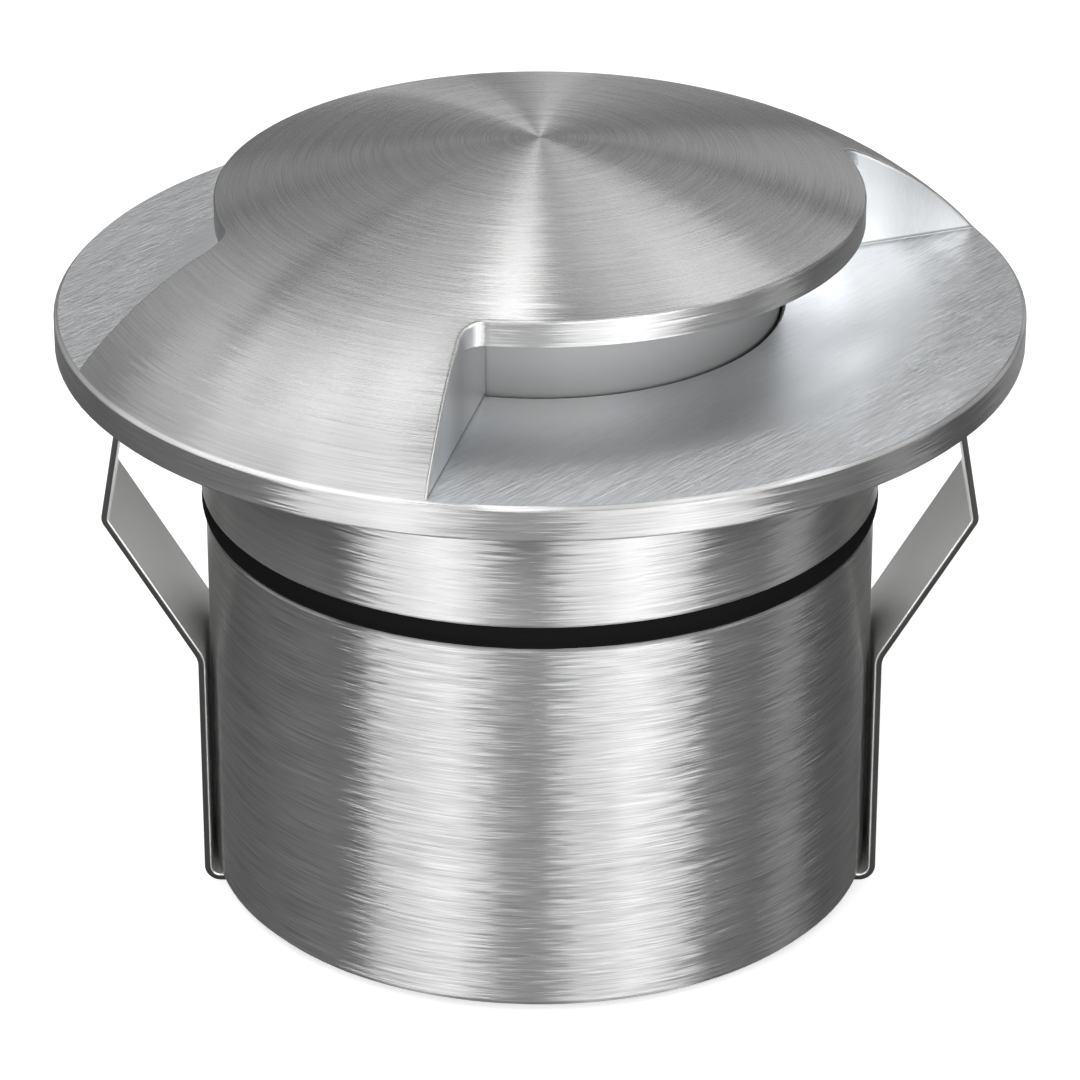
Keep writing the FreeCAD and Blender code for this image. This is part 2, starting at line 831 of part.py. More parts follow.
def make_driver_components():
    """Inductor, capacitors, small parts and the terminal block on the driver board."""
    inductor = doc.addObject("Part::Torus", "driver_inductor")
    section = size("coil_section_radius")
    bind(inductor, "Radius1", size("coil_radius"))
    bind(inductor, "Radius2", section)
    place(inductor, -13.2, -3, DRIVER_LOW - section)
    keep(inductor, "driver_inductor")

    can_radius, length = size("cap_can_radius"), size("cap_can_length")
    blank = cylinder("capacitor_blank", can_radius, DRIVER_LOW - length, DRIVER_LOW)
    repeated("driver_capacitors", blank, [(3.8, 14.0), (-4.0, 13.8)])

    chips = []
    for i, (across, up, length, width, height) in enumerate(CHIPS):
        chips.append(block(f"driver_chip_{i}", length, width, DRIVER_TOP, DRIVER_TOP + height, across, up))
    doc.recompute()
    feature = doc.addObject("Part::Feature", "driver_chips")
    feature.Shape = Part.makeCompound([chip.Shape for chip in chips])
    keep(feature, "driver_chips")

    low = DRIVER_LOW - size("terminal_height")
    length, width = size("terminal_length"), size("terminal_width")
    across, back = size("terminal_across"), -size("terminal_back")
    case = block("terminal_case", length, width, low, DRIVER_LOW, across, back)
    entry_radius = size("terminal_entry_radius")
    tools = []
    for i, side in enumerate((-0.5, 0.5)):
        column = across + size("terminal_pitch") * side
        entry = cylinder(f"terminal_entry_{i}", entry_radius, 0, width)
        entry.Placement.Rotation = FreeCAD.Rotation(FreeCAD.Vector(1, 0, 0), -90)
        place(entry, column, back, low + entry_radius + 1.0)
        tools.append(entry)
        well = cylinder(f"terminal_screw_well_{i}", 1.5, low - PAST, low + 0.8, column, back - width * 0.27)
        tools.append(well)
    keep(cut("terminal_block", case, tools), "terminal_block")


# ---------------------------------------------------------------- gland and vent


def make_gland():
    """A cable gland through the can's floor, all of it above the rim."""
    stem, bore = size("gland_stem"), size("gland_cable_bore")
    flats = size("gland_flats")
    nose, gap = size("gland_nose_radius"), size("gland_gap")
    washer_low = FLOOR_LOW - size("gland_washer_height")
    hex_low = washer_low - size("gland_hex_height")
    nose_low = hex_low - size("gland_nose_height")
    cap_low = RIM + size("gland_cap_rise")
    stem_top = FLOOR_TOP + size("gland_stem_above_floor")
    seat_top = washer_low - 0.6
    solids = [prism("gland_hex", flats, hex_low, washer_low)]
    solids.append(cylinder("gland_stem_bar", stem, washer_low, stem_top))
    solids.append(cylinder("gland_nose", nose, nose_low, hex_low))
    tools = [cylinder("gland_through", bore + 0.3, nose_low - PAST, stem_top + PAST)]
    tools.append(cylinder("gland_seat", size("gland_seat_radius"), nose_low - PAST, seat_top))
    keep(cut("gland_body", fused("gland_solid", solids), tools), "gland_body")
    ring("gland_washer", size("gland_hole") + 0.1, size("gland_washer_radius"), washer_low, FLOOR_LOW)
    nut_top = FLOOR_TOP + size("gland_nut_height")
    nut = prism("gland_nut_bar", flats, FLOOR_TOP, nut_top)
    nut_hole = cylinder("gland_nut_hole", stem + 0.02, FLOOR_TOP - PAST, nut_top + PAST)
    keep(cut("gland_lock_nut", nut, [nut_hole]), "gland_lock_nut")
    ring("gland_seal", bore, size("gland_seal_radius"), nose_low - gap, seat_top)
    cap = prism("gland_cap_bar", flats - 1, cap_low, hex_low - gap)
    cap_tools = [cylinder("gland_cap_thread", nose + 0.05, nose_low - gap, hex_low + PAST)]
    cap_tools.append(cylinder("gland_cap_opening", size("gland_cap_mouth"), cap_low - PAST, nose_low + PAST))
    keep(cut("gland_cap", cap, cap_tools), "gland_cap")


def make_vent():
    """A small vent plug beside the gland, with its seal."""
    offset = -size("vent_offset")
    stem = size("vent_hole") - 0.1
    seal_low = FLOOR_LOW - size("vent_seal_height")
    head = prism("vent_head", size("vent_flats"), seal_low - size("vent_head_height"), seal_low, 0, offset)
    bar_top = FLOOR_TOP + 0.6
    bar = cylinder("vent_stem", stem, seal_low, bar_top, 0, offset)
    pore = cylinder("vent_bore", size("vent_pore"), seal_low - 1.0, bar_top + PAST, 0, offset)
    keep(cut("vent_plug", fused("vent_solid", [head, bar]), [pore]), "vent_plug")
    disc = cylinder("vent_seal_disc", size("vent_seal_radius"), seal_low, FLOOR_LOW, 0, offset)
    hole = cylinder("vent_seal_hole", stem + 0.05, seal_low - PAST, FLOOR_LOW + PAST, 0, offset)
    keep(cut("vent_seal", disc, [hole]), "vent_seal")


# ---------------------------------------------------------------- spring clips


def bent_strip(label, side, stops):
    """A strip bent square along stops, which are alternate sizes along X and Z from the first point."""
    body = new_body(label)
    bend = size("strip_bend")
    path = new_sketch(body, "XZ_Plane", label + "_line")
    corners = []
    for across, up in stops:
        corners.append(((dim(across) * side), dim(up)))
    values = [FreeCAD.Vector(across.value, up.value, 0) for across, up in corners]
    last = len(values) - 1
    for i in range(last):
        way = (values[i + 1] - values[i]).normalize()
        begin = values[i] + way * (bend.value if i > 0 else 0)
        end = values[i + 1] - way * (bend.value if i + 1 < last else 0)
        line = path.addGeometry(Part.LineSegment(begin, end), False)
        level = abs(way.y) < 0.5
        path.addConstraint(Sketcher.Constraint("Horizontal" if level else "Vertical", line))
        if level:
            pin_coordinate(path, "DistanceY", line, 1, corners[i][1])
        else:
            pin_coordinate(path, "DistanceX", line, 1, corners[i][0])
    pin_coordinate(path, "DistanceX", 0, 1, corners[0][0])
    pin_coordinate(path, "DistanceY", last - 1, 2, corners[last][1])
    for i in range(1, last):
        into = (values[i] - values[i - 1]).normalize()
        out = (values[i + 1] - values[i]).normalize()
        left = into.x * out.y - into.y * out.x
        first = values[i] - into * bend.value
        final = values[i] + out * bend.value
        curve, order = arc_between(
            (first.x, first.y), (final.x, final.y), bend.value, -1 if left > 0 else 1
        )
        arc = path.addGeometry(curve, False)
        path.addConstraint(Sketcher.Constraint("Tangent", i - 1, 2, arc, order[0]))
        path.addConstraint(Sketcher.Constraint("Tangent", arc, order[1], i, 1))
        held = path.addConstraint(Sketcher.Constraint("Radius", arc, bend.value))
        bind(path, f"Constraints[{held}]", bend)
    section = new_sketch(body, "XY_Plane", label + "_section", offset=corners[last][1])
    half_width, half = size("strip_width") / 2, size("strip_thickness") / 2
    line_x = corners[last][0]
    draw_outline(
        section,
        [
            (line_x - half, -half_width),
            (line_x + half, -half_width),
            (line_x + half, half_width),
            (line_x - half, half_width),
        ],
    )
    pipe = body.newObject("PartDesign::AdditivePipe", label + "_strip")
    pipe.Profile = section
    pipe.Spine = (path, [f"Edge{i + 1}" for i in range(path.GeometryCount)])
    body.Tip = pipe
    doc.recompute()
    return body


def leaning_strip(label, side, foot, lean, start, length):
    """A straight strip whose middle line leaves foot at lean from upright, outwards when positive."""
    strip = doc.addObject("Part::Box", label + "_strip")
    width, thickness = size("strip_width"), size("strip_thickness")
    bind(strip, "Length", thickness)
    bind(strip, "Width", width)
    bind(strip, "Height", length)
    turn = lean * side
    strip.Placement.Rotation = FreeCAD.Rotation(FreeCAD.Vector(0, 1, 0), turn.value)
    bind(strip, "Placement.Rotation.Angle", turn)
    across = dim(foot[0]) * side + turn.sine() * start - turn.cosine() * thickness / 2
    up = dim(foot[1]) + turn.cosine() * start + turn.sine() * thickness / 2
    place(strip, across, -width / 2, up)
    return keep(strip, label)


def make_clip(name, side):
    """One spring: a foot that hooks under the rim, a blade that leans out and a tip that leans back in."""
    line, inner = size("strip_line"), size("strip_inner_line")
    half = STRIP / 2
    gap = size("flex_gap")
    flex = size("flex_height")
    tab_level = FLOOR_LOW - half
    foot = bent_strip(
        f"clip_foot_{name}",
        side,
        [
            (size("strip_tab_end"), tab_level),
            (inner, tab_level),
            (inner, half),
            (line, half),
            (line, flex - gap),
        ],
    )
    hole = size("screw_radius") + size("screw_clearance")
    offset = size("clip_screw_offset") * side
    drill(foot, f"clip_hole_{name}", [(offset, 0, hole)], FLOOR_LOW - 1, FLOOR_LOW + 0.5)
    keep(foot, f"clip_foot_{name}")
    lean, length = size("blade_lean"), size("blade_length")
    leaning_strip(f"clip_blade_{name}", side, (line, flex), lean, gap, length - gap * 2)
    elbow = (line + lean.sine() * length, flex + lean.cosine() * length)
    leaning_strip(f"clip_tip_{name}", side, elbow, -size("tip_lean"), gap, size("tip_length") - gap)
    print("flex", name, round(line.value * side, 4), round(flex.value, 4))
    print("elbow", name, round(elbow[0].value * side, 4), round(elbow[1].value, 4))


def make_clip_screws():
    head_low = FLOOR_LOW - STRIP - size("screw_head")
    blank = screw_blank("clip_screw", head_low, length=size("clip_screw_length"))
    offset = size("clip_screw_offset")
    repeated("clip_screws", blank, [(-offset, 0), (offset, 0)])


# ---------------------------------------------------------------- build and write


def write_parts():
    doc.recompute()
    for thing in doc.Objects:
        bad = [word for word in thing.State if word in ("Invalid", "Error")]
        assert not bad, f"{thing.Name} is {bad}"
    os.makedirs("parts", exist_ok=True)
    for thing in subparts:
        shape = thing.Shape
        assert not shape.isNull() and shape.isValid(), f"{thing.Label} has no good shape"
        assert len(thing.Label) < 60, f"{thing.Label} is too long a name"
        shape.exportStep(f"parts/{thing.Label}.step")
        box = shape.BoundBox
        print(
            f"{thing.Label:20s} solids {len(shape.Solids)} volume {shape.Volume:9.1f} mm3",
            f"z {box.ZMin:6.2f} to {box.ZMax:6.2f}",
        )


make_can()
make_body_gasket()
make_top_cover()
make_diffuser()
make_reflectors()
make_led_board()
make_heat_sink()
make_lock_ring()
make_driver()
make_driver_components()
make_gland()
make_vent()
make_clip("left", -1)
make_clip("right", 1)
make_clip_screws()
write_parts()
print(len(subparts), "sub-parts written")
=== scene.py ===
# %% [markdown]
# # A small in-ground light in turned stainless steel
#
# This lesson dresses a measured model of a round deck and ground light: a domed head with two windows,
# a frosted cup inside it, a straight can, and two spring clips that hold the can in its hole.
# The measured model is loaded first. Pieces that it already has in the right shape only get a finish,
# and the spring clips, which are bent strips that flex, are made again here as smooth strips.

# %% Load the measured model
import math

import bmesh
import bpy
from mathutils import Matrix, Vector


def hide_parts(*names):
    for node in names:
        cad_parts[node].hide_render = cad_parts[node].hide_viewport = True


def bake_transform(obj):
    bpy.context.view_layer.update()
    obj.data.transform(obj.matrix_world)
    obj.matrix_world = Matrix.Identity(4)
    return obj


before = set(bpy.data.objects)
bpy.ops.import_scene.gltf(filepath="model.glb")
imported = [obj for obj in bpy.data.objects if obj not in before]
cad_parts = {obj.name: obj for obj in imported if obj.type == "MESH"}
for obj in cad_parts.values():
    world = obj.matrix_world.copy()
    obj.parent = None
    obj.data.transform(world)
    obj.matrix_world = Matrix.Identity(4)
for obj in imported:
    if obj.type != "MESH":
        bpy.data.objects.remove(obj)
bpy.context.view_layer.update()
MM = 0.001

# %% [markdown]
# ## The camera
#
# The product picture is taken from straight in front and from 26 degrees above, with a long lens.
# A long lens keeps the upright can nearly straight-sided. Its place was worked out from how the flange,
# the can and the cap foreshorten, so the numbers below are that fit, and nothing is moved by eye.

# %% Place the camera
LENS = 173.58
CAMERA_BACK = 344.55
CAMERA_UP = 196.29
CAMERA_TILT = 63.684
camera_data = bpy.data.cameras.new("product_camera")
camera_data.sensor_width = 36.0
camera_data.lens = LENS
camera_data.clip_start = 0.01
camera = bpy.data.objects.new("product_camera", camera_data)
camera.location = (0.0, -CAMERA_BACK * MM, CAMERA_UP * MM)
camera.rotation_euler = (math.radians(CAMERA_TILT), 0.0, 0.0)
bpy.context.scene.collection.objects.link(camera)
bpy.context.scene.camera = camera
print("camera", tuple(round(c, 4) for c in camera.location))

# %% [markdown]
# ## Writing shader nodes as sums
#
# Steel gets its look from small sums: how far a point is from the axis, which way it faces, how far
# along a scratch it lies. One small class wraps the output of a node, so that such a sum can be written
# in Python. Numbers go through Math nodes. Vectors, and colours that are scaled, go through Vector Math,
# which keeps their three parts.

# %% A wrapped socket
class Wire:
    """One output of a shader node. Python's operators on it add Math or Vector Math nodes."""

    def __init__(self, tree, socket=None):
        self.tree = tree
        self.socket = socket

    def node(self, kind, output=0, settings=None, inputs=None):
        """Add any node: its settings come first, then the values or links of its sockets."""
        made = self.tree.nodes.new("ShaderNode" + kind)
        for name, value in (settings or {}).items():
            setattr(made, name, value)
        for name, value in (inputs or {}).items():
            if isinstance(value, Wire):
                self.tree.links.new(value.socket, made.inputs[name])
            else:
                made.inputs[name].default_value = value
        return Wire(self.tree, made.outputs[output])

    def sum_of(self, operation, *values):
        """A Math node, or a Vector Math node when any value has three parts."""
        triple = any(isinstance(v, Wire) and v.socket.type != "VALUE" for v in values)
        if triple:
            values = [(v, v, v) if isinstance(v, (int, float)) else v for v in values]
        kind = "VectorMath" if triple else "Math"
        return self.node(kind, 0, {"operation": operation}, dict(enumerate(values)))

    def __add__(self, other):
        return self.sum_of("ADD", self, other)

    __radd__ = __add__

    def __sub__(self, other):
        return self.sum_of("SUBTRACT", self, other)

    def __rsub__(self, other):
        return self.sum_of("SUBTRACT", other, self)

    def __mul__(self, other):
        return self.sum_of("MULTIPLY", self, other)

    __rmul__ = __mul__

    def __truediv__(self, other):
        return self.sum_of("DIVIDE", self, other)

    def __pow__(self, other):
        return self.sum_of("POWER", self, other)

    def __abs__(self):
        return self.sum_of("ABSOLUTE", self)


print("shader sums are ready")

# %% [markdown]
# ## Starting a finish
#
# Every finish starts from one Principled shader, so it also looks right in other programs.
# A colour that a sum will change needs a node of its own, and a finish is given to a piece of the
# measured model by putting it in that piece's material slots, which leaves the shape alone.

# %% Start and give a finish
def new_finish(name, colour, roughness, metallic=0.0):
    """A material with one Principled shader; gives the material, the shader and a Wire to build with."""
    material = bpy.data.materials.new(name)
    material.use_nodes = True
    shader = material.node_tree.nodes["Principled BSDF"]
    shader.inputs["Base Color"].default_value = (*colour, 1.0)
    shader.inputs["Metallic"].default_value = metallic
    shader.inputs["Roughness"].default_value = roughness
    return material, shader, Wire(material.node_tree)


def feed(shader, name, wire):
    wire.tree.links.new(wire.socket, shader.inputs[name])


def plain_colour(start, colour):
    base = start.node("RGB")
    base.socket.default_value = (*colour, 1.0)
    return base


def dress(material, *names):
    """Give a finish to pieces of the measured model."""
    for name in names:
        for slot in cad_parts[name].material_slots:
            slot.material = material


print("a finish can be started and given")

# %% [markdown]
# ## Masks, noise and bumps
#
# A mask rises or falls smoothly between 0 and 1, so no finish has a hard seam. Noise can be stretched
# along a direction by scaling the coordinates that feed it: a small scale makes long streaks, a large one
# thin ones. Everything is measured in millimetres from the light's axis and the plane it stands on.

# %% Masks and places
def rise(wire, low, high):
    """0 below low, 1 above high, and a smooth rise between them."""
    settings = {"interpolation_type": "SMOOTHSTEP"}
    return wire.node("MapRange", 0, settings, {"Value": wire, "From Min": low, "From Max": high})


def fall(wire, low, high):
    """1 below low, 0 above high, and a smooth fall between them."""
    return 1.0 - rise(wire, low, high)


def joined(start, x, y, z):
    return start.node("CombineXYZ", 0, None, {0: x, 1: y, 2: z})


def place_parts(start):
    """Where a point is, in millimetres: x, y, z, its distance from the axis, and how far up it faces."""
    where = start.node("NewGeometry", "Position") * 1000.0
    split = start.node("SeparateXYZ", 0, None, {0: where}).socket.node
    x, y, z = (Wire(start.tree, output) for output in split.outputs)
    reach = (x * x + y * y) ** 0.5
    normal = start.node("NewGeometry", "True Normal")
    facing = start.node("SeparateXYZ", 2, None, {0: normal})
    return x, y, z, reach, facing


print("masks and places are ready")

# %% Noise and bumps
def noise(start, where, scale=1.0, detail=2.0, roughness=0.5):
    """Noise about 0.5 at a place given by a vector."""
    inputs = {"Vector": where, "Scale": scale, "Detail": detail, "Roughness": roughness}
    return start.node("TexNoise", 0, {"noise_dimensions": "3D"}, inputs)


def bump(start, height, depth_mm, normal=None):
    """A normal that follows a height, from the surface's own normal or from another one."""
    inputs = {"Height": height, "Distance": depth_mm * MM, "Strength": 1.0}
    if normal:
        inputs["Normal"] = normal
    return start.node("Bump", 0, None, inputs)


print("noise and bumps are ready")

# %% [markdown]
# ## Turned and brushed steel
#
# The dome, the flange and the can were all turned in a lathe and then brushed as they spun, so their
# fine lines run round the axis. Such lines smear a reflection across themselves: on the dome that makes
# light fans that meet at its top, and on the can upright bands. An anisotropic shader gives that, and
# noise that is stretched along the circumference gives the single lines. Its third coordinate is the
# distance from the axis less the height, which changes steadily down the dome and down the can alike.

# %% Streaks round the axis
def ring_lines(start, x, y, z, reach, length, width):
    """Noise in streaks that run round the axis, of about that length and width in millimetres."""
    across = (reach - z) * (1.0 / width)
    where = joined(start, x * (1.0 / length), y * (1.0 / length), across)
    return noise(start, where, 1.0, 1.5, 0.5)


print("streaks are ready")

# %% [markdown]
# ## Lines that don't run quite true
#
# Each brushed line sways a little, so the bright bands have frayed edges. Here the normal is rocked round
# the axis from line to line, and less so where the steel faces up, because the dome's fans are cleaner.
# The can's upper rim is broken, so its normal leans upwards there and catches a thin line of light.
# A real bevel would do that too, but it would be only a quarter of a millimetre wide.

# %% The swaying normal
RIM_BAND = 0.28
RIM_LEAN = 0.9
CALM_ON_TOP = 0.7


def swaying_normal(start, parts, length, width, sway, rim):
    """The smooth normal, rocked round the axis line by line and leaning up at a rim's height."""
    x, y, z, reach, facing = parts
    swaying = ring_lines(start, y, x, z, reach, length, width)
    calm = 1.0 - rise(facing, 0.5, 0.9) * CALM_ON_TOP
    swing = (swaying - 0.5) * calm * sway / reach
    leaning = rise(z, rim - RIM_BAND, rim) * RIM_LEAN
    shift = joined(start, y * swing * -1.0, x * swing, leaning)
    return start.sum_of("NORMALIZE", start.node("NewGeometry", "Normal") + shift)


print("the normal can sway by line")

# %% Steel with lines round the axis
FINE_SHARE = 0.84
SHINE_CHANGE = 0.12
LINE_DEPTH = 0.004
QUARTER_TURN = 0.25
NO_RIM = 99.0


def turned_steel(
    name, colour, roughness, anisotropy, contrast, length=5.0, width=0.08, sway=0.0, rim=NO_RIM
):
    """Steel brushed round the axis; also gives its shade and roughness, for finishes that change them."""
    material, shader, start = new_finish(name, colour, roughness, metallic=1.0)
    parts = place_parts(start)
    x, y, z, reach, _ = parts
    fine = ring_lines(start, x, y, z, reach, length, width)
    broad = ring_lines(start, x, y, z, reach, length * 2.5, width * 6.0)
    lines = fine * FINE_SHARE + broad * (1.0 - FINE_SHARE)
    shade = plain_colour(start, colour) * (1.0 + (lines - 0.5) * contrast)
    rough = roughness + (lines - 0.5) * SHINE_CHANGE
    feed(shader, "Base Color", shade)
    feed(shader, "Roughness", rough)
    swayed = swaying_normal(start, parts, length * 0.6, width, sway, rim)
    feed(shader, "Normal", bump(start, lines, LINE_DEPTH, swayed))
    shader.inputs["Anisotropic"].default_value = anisotropy
    shader.inputs["Anisotropic Rotation"].default_value = QUARTER_TURN
    return material, shader, start, shade, rough


STEEL = (0.55, 0.55, 0.55)
CAN_RIM = 29.55
can_steel = turned_steel(
    "brushed_can_steel",
    STEEL,
    roughness=0.37,
    anisotropy=1.0,
    contrast=1.3,
    width=0.06,
    sway=0.42,
    rim=CAN_RIM,
)[0]
dress(can_steel, "body_can")
print("steel on the can")

# %% [markdown]
# ## The head: fans, flange edge and neck
#
# The head is polished finer than the can, and its uprights, the flange's edge and the neck, are a little
# duller than its dome. Two of the dome's fans get a painted highlight, a slight lightening of the colour
# along a line from the axis, because a lamp strong enough to give them alone would wash out the flange.
# The flange's top edge is broken, and a narrow mask paints its highlight as a lighter line. The neck's
# colour is lightened a little too, as painted light.

# %% Steel on the head
FLANGE_LOW = 42.95
FLANGE_TOP = 45.35
FLANGE_EDGE = 34.8
EDGE_PAINTED_HIGHLIGHT = 0.6
NECK_PAINTED_LIGHT = 0.1
NECK_DULLER = 0.05
UPRIGHT_DULLER = 0.1


def fan(start, x, y, reach, azimuth, inner, outer):
    """1 along a line from the axis, at an azimuth from the front, fading between two angles beside it."""
    turn = math.radians(azimuth)
    along = (x * math.sin(turn) - y * math.cos(turn)) / reach
    return rise(along, math.cos(math.radians(outer)), math.cos(math.radians(inner)))


cover_steel, turned_shader, start, shade, rough = turned_steel(
    "turned_cover_steel",
    STEEL,
    roughness=0.275,
    anisotropy=1.0,
    contrast=0.7,
    length=8.0,
    width=0.08,
    sway=0.36,
)
x, y, z, reach, facing = place_parts(start)
neck = fall(z, FLANGE_LOW - 0.15, FLANGE_LOW - 0.05)
# painted highlights: two of the dome's fans, lightened in the colour along a line from the axis
painted_back_left_fan_highlight = fan(start, x, y, reach, -153.0, 5.0, 14.0) * 0.3
painted_back_fan_highlight = fan(start, x, y, reach, 178.0, 4.0, 12.0) * 0.15
# painted highlight: a lighter line along the flange's top edge
edge = rise(reach, FLANGE_EDGE - 0.12, FLANGE_EDGE) * rise(z, FLANGE_TOP - 0.15, FLANGE_TOP)
# painted light: the neck, the two fans and the flange's edge are lightened in the colour
painted_lightening = 1.0 + neck * NECK_PAINTED_LIGHT + (painted_back_left_fan_highlight + painted_back_fan_highlight) + edge * EDGE_PAINTED_HIGHLIGHT
duller = fall(facing, 0.3, 0.85) * UPRIGHT_DULLER + neck * NECK_DULLER
feed(turned_shader, "Base Color", shade * painted_lightening)
feed(turned_shader, "Roughness", rough + duller)
dress(cover_steel, "top_cover")
print("steel on the head")

# %% [markdown]
# ## The milled windows
#
# The two windows were milled out after turning, so their floors and walls have no lines round the axis.
# They get a second shader in the same material, and a mask that finds them by height and by how far up
# they face: the floors lie flat at one height, and the walls stand upright above them. The bore of the
# lens hole belongs to them too.

# %% Find the milled faces
WINDOW_FLOOR = 45.53
CAP_SIDE = 23.31
CAP_LOW = 51.92
LENS_HOLE = 17.85

x, y, z, reach, facing = place_parts(start)
above_floor = rise(z, WINDOW_FLOOR + 0.03, WINDOW_FLOOR + 0.08)
on_floor = rise(z, WINDOW_FLOOR - 0.2, WINDOW_FLOOR - 0.1) * (1.0 - above_floor) * rise(facing, 0.8, 0.95)
outside_cap = rise(reach, CAP_SIDE + 0.1, CAP_SIDE + 0.6)
beyond_cap = start.sum_of("MAXIMUM", outside_cap, fall(z, CAP_LOW - 0.1, CAP_LOW))
on_wall = fall(abs(facing), 0.2, 0.45) * above_floor * beyond_cap
lens_hole = fall(reach, LENS_HOLE, LENS_HOLE + 0.1) * fall(z, WINDOW_FLOOR - 0.01, WINDOW_FLOOR + 0.05)
milled = start.sum_of("MAXIMUM", on_floor + on_wall, lens_hole)
print("milled faces start at height", WINDOW_FLOOR)

# %% [markdown]
# ## Scratches on the milled faces
#
# The floors were rubbed straight across with a fine pad. Long thin noise gives those scratches, shorter
# noise crosses it in patches, and both are stronger on the flange, where hands reach, than beside the cup.

# %% Scratches
BRUSH = math.radians(49.5)
SHORT_SHARE = 0.7
INNER_SHARE = 0.25
WALL_CALM = 0.85

along = x * math.cos(BRUSH) + y * math.sin(BRUSH)
beside = y * math.cos(BRUSH) - x * math.sin(BRUSH)
outer = rise(reach, 26.5, 29.5)
long_lines = noise(start, joined(start, along * 0.5, beside * 8.0, z), 1.0, 2.0, 0.6) - 0.5
short_lines = noise(start, joined(start, along * 2.0, beside * 7.0, z), 1.0, 2.0, 0.6) - 0.5
patches = rise(noise(start, joined(start, x * 0.22, y * 0.22, z), 1.0, 1.0), 0.44, 0.6)
brushed = (INNER_SHARE + outer * (1.0 - INNER_SHARE)) * (1.0 - on_wall * WALL_CALM)
scratched = (long_lines + short_lines * patches * SHORT_SHARE) * brushed
print("scratches at", round(math.degrees(BRUSH), 1), "degrees")

# %% [markdown]
# ## Painted light and shade on the milled faces
#
# In the picture the window's floor isn't one grey. It is bright where the wall throws light on it and
# beside the cup, and darker towards the flange's ends and under the cap. Light that bounces between
# satin faces so close together is slow to fit with lamps, so part of it is painted here as soft tones of
# painted light and painted shade, each a mask and how much lighter or darker it makes the steel. The dark
# line at the foot of each wall is painted shade as well.

# %% Painted light and shade on the milled faces
MILLED = (0.74, 0.755, 0.77)
MILLED_ROUGH = 0.42
SCRATCH_DEPTH = 0.07
WALL_FOOT_PAINTED_SHADE = 0.6

# painted light and painted shade: where the windows' floors and walls are drawn lighter or darker
less_painted_light_past_wall = rise(y, -12.0, -5.0) * (0.2 + rise(reach, 20.5, 23.5) * 0.3)
right_inner_painted_light = fall(reach, 24.0, 27.5) * rise(x, 12.0, 17.0) * (1.0 - on_wall)
right_middle_painted_shade = rise(reach, 24.0, 27.0) * fall(reach, 30.0, 33.0) * rise(x, 21.5, 24.5)
beside_cup_painted_light = fall(reach, 20.0, 28.0) * fall(x, 3.0, 10.0)
under_cap_painted_shade = on_wall * fall(reach, 24.0, 30.0) * fall(y, -15.0, -10.0)
wall_foot_painted_shade = on_wall * fall(z, WINDOW_FLOOR + 0.12, WINDOW_FLOOR + 0.3)
scratches_and_painted_light = 1.0
# painted shade towards the flange's ends, under the cap and towards the left; painted light beside the
# wall, beside the cup and on the walls; the scratches are the steel's own
for mask, change in (
    (outer * rise(x, 15.0, 21.0), -0.2),
    (right_inner_painted_light, 0.3 - less_painted_light_past_wall),
    (right_middle_painted_shade, -0.12),
    (beside_cup_painted_light, 0.36),
    (under_cap_painted_shade, -0.55),
    (on_wall, 0.14),
    (scratched, 0.9),
    (fall(x, -20.0, -10.0), -0.13),
):
    scratches_and_painted_light = scratches_and_painted_light + mask * change
# painted shade: a dark line along the foot of each wall, where it meets the floor
scratches_and_painted_light = scratches_and_painted_light * (1.0 - wall_foot_painted_shade * WALL_FOOT_PAINTED_SHADE)
milled_inputs = {"Base Color": (*MILLED, 1.0), "Metallic": 1.0, "Roughness": MILLED_ROUGH}
milled_surface = start.node("BsdfPrincipled", 0, None, milled_inputs)
milled_shader = milled_surface.socket.node
feed(milled_shader, "Base Color", plain_colour(start, MILLED) * scratches_and_painted_light)
feed(milled_shader, "Normal", bump(start, scratched, SCRATCH_DEPTH))
turned_surface = Wire(start.tree, turned_shader.outputs[0])
surface = start.node("MixShader", 0, None, {0: milled, 1: turned_surface, 2: milled_surface})
feed(start.tree.nodes["Material Output"], "Surface", surface)
print("milled steel in both windows")

# %% [markdown]
# ## Rubber, nylon and frosted plastic
#
# Moulded pieces have no direction. Fine grain in the height, and a slow change in the shine where hands
# or tools have rubbed them, are enough. The frosted cup gets painted shade towards its foot and towards
# its right side, where less light finds its way in, and its grey is partly its own colour and partly
# painted shade under the cap.

# %% Moulded finishes
SLOW_SCALE = 0.22
SLOW_SHINE = 0.16
FINE_SHINE = 0.06


def mottled(name, colour, roughness, grain=0.35, depth=0.006, metallic=0.0, change=0.12):
    """A finish without a direction: slow changes of shade and shine, and a fine grain."""
    material, shader, start = new_finish(name, colour, roughness, metallic)
    where = start.node("NewGeometry", "Position") * 1000.0
    slow = noise(start, where, SLOW_SCALE, 3.0) - 0.5
    fine = noise(start, where, 1.0 / grain, 2.0) - 0.5
    shade = 1.0 + slow * change * 2.0 + fine * change
    feed(shader, "Base Color", plain_colour(start, colour) * shade)
    feed(shader, "Roughness", roughness + slow * SLOW_SHINE + fine * FINE_SHINE)
    feed(shader, "Normal", bump(start, fine, depth))
    return material, shader, start


BLACK_RUBBER = (0.0035, 0.0035, 0.0035)
rubber, rubber_shader, _ = mottled("black_rubber", BLACK_RUBBER, 0.75, grain=0.5, depth=0.01)
rubber_shader.inputs["Specular IOR Level"].default_value = 0.05
nylon, _, _ = mottled("black_nylon", (0.035, 0.035, 0.038), 0.42, grain=0.25, depth=0.012)
dress(rubber, "body_gasket", "diffuser_gasket", "gland_washer", "gland_seal", "vent_seal")
dress(nylon, "gland_body", "gland_cap", "gland_lock_nut", "vent_plug")
print("rubber and nylon")

